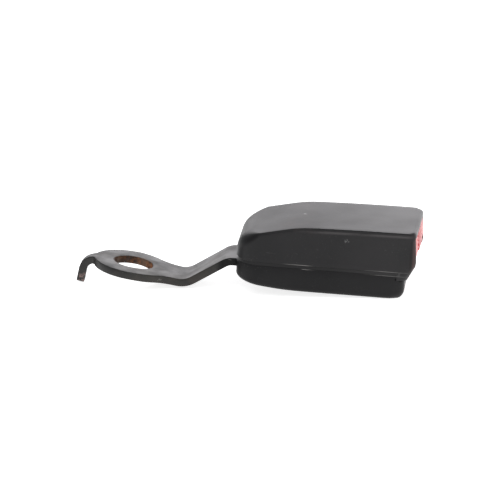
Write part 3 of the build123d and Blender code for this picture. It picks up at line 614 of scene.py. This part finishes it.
def bent_line():
    """The plate's centre line as short steps: (length so far from the bolt hole, x, z, direction)."""
    points = [Vector(p) for p in CENTRE_LINE]
    path = [points[0]]
    for before, corner, after, radius in zip(points, points[1:], points[2:], BENDS):
        a, b = (before - corner).normalized(), (after - corner).normalized()
        half = a.angle(b) / 2
        reach = radius / tan(half)
        centre = corner + (a + b).normalized() * (radius / sin(half))
        start, end = corner + a * reach - centre, corner + b * reach - centre
        turn = start.angle_signed(end)
        steps = max(3, int(abs(turn) / radians(5)))
        for k in range(steps + 1):
            path.append(centre + start @ Matrix.Rotation(-turn * k / steps, 2).transposed())
    path.append(points[-1])
    lengths = [0.0]
    for p, q in zip(path, path[1:]):
        lengths.append(lengths[-1] + (q - p).length)
    for k, (p, q) in enumerate(zip(path, path[1:])):
        if p.x <= 0 < q.x and abs(p.y) < 3:
            zero = lengths[k] + (q - p).length * (0 - p.x) / (q.x - p.x)
    return [length - zero for length in lengths], path


def plate_outline():
    """Plan of the unrolled plate: half of it, from the hook tip to the strap's end, then mirrored."""
    eye, strap, hook, blend, neck = 15.2, 9.0, 2.2, 16.0, 2.4
    lengths, _ = bent_line()
    tip, end = lengths[0], lengths[-1]
    half = [(tip + 0.5, 0.0), (tip + 0.4, hook - 0.5), (tip + 0.9, hook)]
    neck_x = -sqrt((eye + neck) ** 2 - (hook + neck) ** 2)
    touch = atan2(hook + neck, -neck_x)
    for k in range(9):
        angle = -pi / 2 + (pi / 2 - touch) * k / 8
        half.append((neck_x + neck * cos(angle), hook + neck + neck * sin(angle)))
    blend_x = sqrt((eye + blend) ** 2 - (strap + blend) ** 2)
    far = atan2(strap + blend, blend_x)
    for k in range(1, 40):
        angle = pi - touch - (pi - touch - far) * k / 40
        half.append((eye * cos(angle), eye * sin(angle)))
    for k in range(17):
        angle = pi + far + (pi / 2 - far) * k / 16
        half.append((blend_x + blend * cos(angle), strap + blend + blend * sin(angle)))
    half += [(end - 4, strap), (end - 1, strap - 1), (end, strap - 4), (end, 0.0)]
    return half + [(x, -y) for x, y in reversed(half[1:-1])]


def anchor_plate():
    """A stamped plate with rolled edges, cut out flat and then folded along its bends."""
    roll = 0.32
    curve = bpy.data.curves.new("plate_outline", "CURVE")
    curve.dimensions = "2D"
    curve.fill_mode = "BOTH"
    curve.extrude = PLATE / 2 - roll
    curve.bevel_depth = roll
    curve.bevel_resolution = 2
    curve.offset = -roll
    hole = [(7.5 * cos(2 * pi * k / 96), -7.5 * sin(2 * pi * k / 96)) for k in range(96)]
    for ring in (plate_outline(), hole):
        spline = curve.splines.new("POLY")
        spline.points.add(len(ring) - 1)
        for point, (x, y) in zip(spline.points, ring):
            point.co = (x, y, 0, 1)
        spline.use_cyclic_u = True
    shape = bpy.data.objects.new("plate_shape", curve)
    bpy.context.scene.collection.objects.link(shape)
    bpy.context.view_layer.update()
    mesh = bmesh.new()
    data = bpy.data.meshes.new_from_object(shape.evaluated_get(bpy.context.evaluated_depsgraph_get()))
    mesh.from_mesh(data)
    bpy.data.objects.remove(shape)
    bmesh.ops.remove_doubles(mesh, verts=mesh.verts, dist=0.002)
    lengths, path = bent_line()
    for length in lengths[1:-1]:
        geometry = mesh.verts[:] + mesh.edges[:] + mesh.faces[:]
        bmesh.ops.bisect_plane(mesh, geom=geometry, plane_co=(length, 0, 0), plane_no=(1, 0, 0), dist=0.001)
    for vert in mesh.verts:
        u, v, w = vert.co
        k = 0
        while k < len(lengths) - 2 and u > lengths[k + 1]:
            k += 1
        share = (u - lengths[k]) / (lengths[k + 1] - lengths[k])
        spot = path[k].lerp(path[k + 1], share)
        def direction(index):
            index = min(max(index, 0), len(path) - 2)
            return (path[index + 1] - path[index]).normalized()
        near = direction(k) if abs(share - 0.5) < 0.5 else direction(k)
        if share < 0.002:
            near = (direction(k) + direction(k - 1)).normalized()
        elif share > 0.998:
            near = (direction(k) + direction(k + 1)).normalized()
        lift = -v * TWIST * (1 - ease(spot.x, 12.0, 34.0))
        vert.co = Vector((spot.x - near.y * w, v, spot.y + near.x * w + lift)) * MM
    bmesh.ops.recalc_face_normals(mesh, faces=mesh.faces)
    plate = as_object("anchor_plate_skin", mesh)
    return soften(plate, 0, angle=32)


# ------------------------------------------------------------------ release button
def rounded_box(name, low, high, width, shear=None):
    """A box with rounded edges, whose front may lean."""
    obj = box_object(low, high, name)
    if shear:
        for vert in obj.data.vertices:
            vert.co.x += shear(*(c / MM for c in vert.co)) * MM
    modifier = obj.modifiers.new("edges", "BEVEL")
    modifier.width = width * MM
    modifier.segments = 4
    modifier.limit_method = "ANGLE"
    modifier.angle_limit = radians(30)
    return settle(obj)


def joined(name, parts):
    """Several meshes as one piece."""
    mesh = bmesh.new()
    for part in parts:
        mesh.from_mesh(part.data)
    for part in parts:
        bpy.data.objects.remove(part)
    return as_object(name, mesh)


BUTTON_LOW, BUTTON_HIGH = 16.7, 24.4


def button_face(x, y, z):
    """The face leans out at the foot, and sits a little askew in its opening."""
    return ease(x, 107.0, 108.2) * ((BUTTON_HIGH - z) * 0.12 + y * 0.024)


def release_button():
    """The red button: a leaning front plate with grip bars, a skirt behind it and two long arms."""
    parts = [rounded_box("face", (106.4, -16.9, BUTTON_LOW), (108.65, 16.9, BUTTON_HIGH), 0.95, button_face)]
    for low, high in (
        ((103.3, -16.9, BUTTON_LOW), (107.2, -15.6, BUTTON_HIGH)),
        ((103.3, 15.6, BUTTON_LOW), (107.2, 16.9, BUTTON_HIGH)),
        ((103.3, -16.6, BUTTON_HIGH - 1.3), (107.2, 16.6, BUTTON_HIGH)),
        ((103.3, -16.6, BUTTON_LOW), (107.2, 16.6, BUTTON_LOW + 1.3)),
    ):
        parts.append(rounded_box("skirt", low, high, 0.2))
    for k in range(4):
        z = 20.25 + (k - 1.5) * 1.75
        parts.append(rounded_box("grip", (108.2, -7.5, z - 0.42), (109.0, 7.5, z + 0.42), 0.36, button_face))
    for side in (-1, 1):
        inner, outer = sorted((side * 15.3, side * 16.85))
        for low, high in (
            ((71.0, inner, 14.225), (73.0, outer, 19.325)),
            ((75.0, inner, 14.225), (77.2, outer, 19.325)),
            ((72.0, inner, 17.3), (76.0, outer, 19.325)),
            ((72.0, inner, 14.225), (76.0, outer, 14.85)),
            ((76.5, inner, 16.55), (107.0, outer, 19.325)),
        ):
            parts.append(rounded_box("arm", low, high, 0.15))
    button = joined("release_button_skin", parts)
    return soften(button, 0, angle=40)


# ------------------------------------------------------------------ springs
def wire_mesh(name, points, radius, cyclic=False, sides=3):
    """A round wire through points, as a mesh."""
    curve = bpy.data.curves.new(name, "CURVE")
    curve.dimensions = "3D"
    curve.bevel_depth = radius * MM
    curve.bevel_resolution = sides
    curve.use_fill_caps = True
    spline = curve.splines.new("POLY")
    spline.points.add(len(points) - 1)
    for point, place in zip(spline.points, points):
        point.co = (*(c * MM for c in place), 1)
    shape = bpy.data.objects.new(name, curve)
    bpy.context.scene.collection.objects.link(shape)
    bpy.context.view_layer.update()
    data = bpy.data.meshes.new_from_object(shape.evaluated_get(bpy.context.evaluated_depsgraph_get()))
    bpy.data.objects.remove(shape)
    obj = bpy.data.objects.new(name, data)
    bpy.context.scene.collection.objects.link(obj)
    for face in data.polygons:
        face.use_smooth = True
    return obj


def coil(name, x0, x1, y, z, radius, wire, turns):
    """A compression spring along X with closed end turns."""
    points = []
    steps = 28
    dead = 1.0
    total = turns + 2 * dead
    for k in range(int(total * steps) + 1):
        t = k / steps
        if t < dead:
            along = t * wire
        elif t > total - dead:
            along = (x1 - x0 - wire) - (total - t) * wire
        else:
            along = dead * wire + (t - dead) / turns * (x1 - x0 - wire - 2 * dead * wire)
        angle = 2 * pi * t
        points.append((x0 + wire / 2 + along, y + radius * cos(angle), z + radius * sin(angle)))
    return wire_mesh(name, points, wire / 2)


def leaf_spring():
    """The latch's leaf: a thin strip from the bridge down to the latch plate."""
    line = [(92.0, 23.72), (84.4, 23.72), (83.0, 23.6), (79.0, 22.4), (73.0, 20.75), (69.0, 20.2), (67.4, 20.35), (66.8, 20.7)]
    mesh = bmesh.new()
    rows = []
    for k, (x, z) in enumerate(line):
        half = 4.5 - 0.9 * ease(x, 84.0, 68.0) if x < 84 else 4.5
        row = []
        for lift in (0.25, -0.25):
            row.append([mesh.verts.new((x * MM, y * half * MM, (z + lift) * MM)) for y in (-1, -0.5, 0, 0.5, 1)])
        rows.append(row)
    for a, b in zip(rows, rows[1:]):
        for s in (0, 1):
            for k in range(4):
                mesh.faces.new((a[s][k], a[s][k + 1], b[s][k + 1], b[s][k]))
        for k in (0, 4):
            mesh.faces.new((a[0][k], a[1][k], b[1][k], b[0][k]))
    for row in (rows[0], rows[-1]):
        for k in range(4):
            mesh.faces.new((row[0][k], row[0][k + 1], row[1][k + 1], row[1][k]))
    bmesh.ops.recalc_face_normals(mesh, faces=mesh.faces)
    leaf = as_object("latch_spring_skin", mesh)
    modifier = leaf.modifiers.new("smooth", "SUBSURF")
    modifier.levels = modifier.render_levels = 2
    for edge in leaf.data.edges:
        pass
    settle(leaf)
    return soften(leaf, 0, angle=50)


# ------------------------------------------------------------------ put the pieces on their bodies
cover_black = cover_plastic("cover_black_plastic", (0.0045, 0.0043, 0.005), (0.0118, 0.0108, 0.0116), 1.0, 0.26)
lower_black = cover_plastic("lower_cover_black_plastic", (0.0038, 0.0036, 0.0042), (0.0085, 0.0081, 0.0087), 0.0, 0.2)
plate_steel = anchor_steel()
red = button_plastic()
guide_black = plain_plastic("guide_black_plastic", (0.011, 0.011, 0.012), (0.022, 0.022, 0.023), 0.32, 0.45)
acetal = plain_plastic("ejector_acetal", (0.52, 0.5, 0.44), (0.64, 0.62, 0.56), 0.35, 0.5)
rubber = plain_plastic("pad_rubber_mat", (0.012, 0.012, 0.012), (0.022, 0.021, 0.02), 0.75, 0.9)
zinc = bare_steel("frame_zinc_steel", (0.4, 0.38, 0.3), (0.55, 0.53, 0.45), 0.3, 0.45)
hard_steel = bare_steel("latch_hard_steel", (0.28, 0.28, 0.28), (0.4, 0.4, 0.4), 0.28, 0.4)
bright_steel = bare_steel("pin_bright_steel", (0.45, 0.45, 0.46), (0.6, 0.6, 0.6), 0.22, 0.35, stretch=(1, 1, 0.1))
spring_wire = bare_steel("spring_wire_steel", (0.34, 0.34, 0.36), (0.5, 0.5, 0.51), 0.25, 0.38, stretch=(1, 1, 1))

SLOTS = {
    "cover_plastic": cover_black,
    "lower_cover_plastic": lower_black,
    "guide_plastic": guide_black,
    "button_plastic": red,
    "ejector_plastic": acetal,
    "anchor_steel": plate_steel,
    "frame_steel": zinc,
    "latch_steel": hard_steel,
    "pin_steel": bright_steel,
    "spring_steel": spring_wire,
    "pad_rubber": rubber,
}
for part in frame["record"]["subparts"]:
    dress(frame["nodes"][part["node"]], SLOTS[part["material_slot"]])


def stand_in(obj, node, body, slot):
    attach(obj, body)
    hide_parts(node)
    return dress(obj, SLOTS[slot])


stand_in(upper_cover(), "upper_cover", "housing", "cover_plastic")
stand_in(lower_cover(), "lower_cover", "housing", "lower_cover_plastic")
stand_in(anchor_plate(), "anchor_plate", "housing", "anchor_steel")
stand_in(release_button(), "release_button", "button", "button_plastic")
for side, y in (("left", 8.0), ("right", -8.0)):
    spring = coil("button_spring_" + side + "_skin", 97.05, 106.35, y, 20.27, 2.1, 0.5, 5)
    stand_in(spring, "button_spring_" + side, "housing", "spring_steel")
    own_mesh(spring)
spring = coil("ejector_spring_skin", 49.55, 77.95, 0.0, 12.72, 1.35, 0.5, 15)
stand_in(spring, "ejector_spring", "housing", "spring_steel")
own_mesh(spring)
leaf = leaf_spring()
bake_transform(leaf)
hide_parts("latch_spring")
dress(leaf, spring_wire)


# ------------------------------------------------------------------ floor and light
FLOOR_SLOPE = radians(4.044)
FLOOR_POINT = Vector((0.10059, 0, 0.00036))


def add_floor():
    side = 1.8
    mesh = bpy.data.meshes.new("floor")
    mesh.from_pydata([(-side, -side, 0), (side, -side, 0), (side, side, 0), (-side, side, 0)], [], [(0, 1, 2, 3)])
    floor = bpy.data.objects.new("floor", mesh)
    floor.matrix_world = Matrix.Translation(FLOOR_POINT) @ Matrix.Rotation(-FLOOR_SLOPE, 4, "Y")
    bpy.context.scene.collection.objects.link(floor)
    paper = bpy.data.materials.new("floor_paper")
    paper.use_nodes = True
    shader = paper.node_tree.nodes["Principled BSDF"]
    shader.inputs["Base Color"].default_value = (0.93, 0.93, 0.93, 1)
    shader.inputs["Roughness"].default_value = 0.95
    shader.inputs["Specular IOR Level"].default_value = 0.0
    shader.inputs["Emission Color"].default_value = (1, 1, 1, 1)
    shader.inputs["Emission Strength"].default_value = 0.8
    mesh.materials.append(paper)


def add_area(name, place, target, size, radiance, tint=(1, 1, 1)):
    data = bpy.data.lights.new(name, "AREA")
    data.shape = "RECTANGLE"
    data.size, data.size_y = size
    data.energy = radiance * pi * size[0] * size[1]
    data.color = tint
    light = bpy.data.objects.new(name, data)
    aim = Vector(target) - Vector(place)
    light.matrix_world = Matrix.Translation(place) @ aim.to_track_quat("-Z", "Y").to_matrix().to_4x4()
    bpy.context.scene.collection.objects.link(light)


def add_light():
    world = bpy.data.worlds.new("studio")
    world.use_nodes = True
    world.node_tree.nodes["Background"].inputs["Color"].default_value = (0.96, 0.98, 1.0, 1)
    world.node_tree.nodes["Background"].inputs["Strength"].default_value = 0.35
    bpy.context.scene.world = world
    add_area("front_top_softbox", (0.0, -0.75, 1.25), (0.05, 0, 0), (2.6, 1.6), 1.1)
    add_area("back_softbox", (0.5, 2.0, 0.75), (0.05, 0, 0.1), (4.0, 1.4), 1.95, (1.0, 0.975, 1.0))


bpy.context.scene.view_settings.view_transform = "Standard"
add_camera()
add_floor()
add_light()
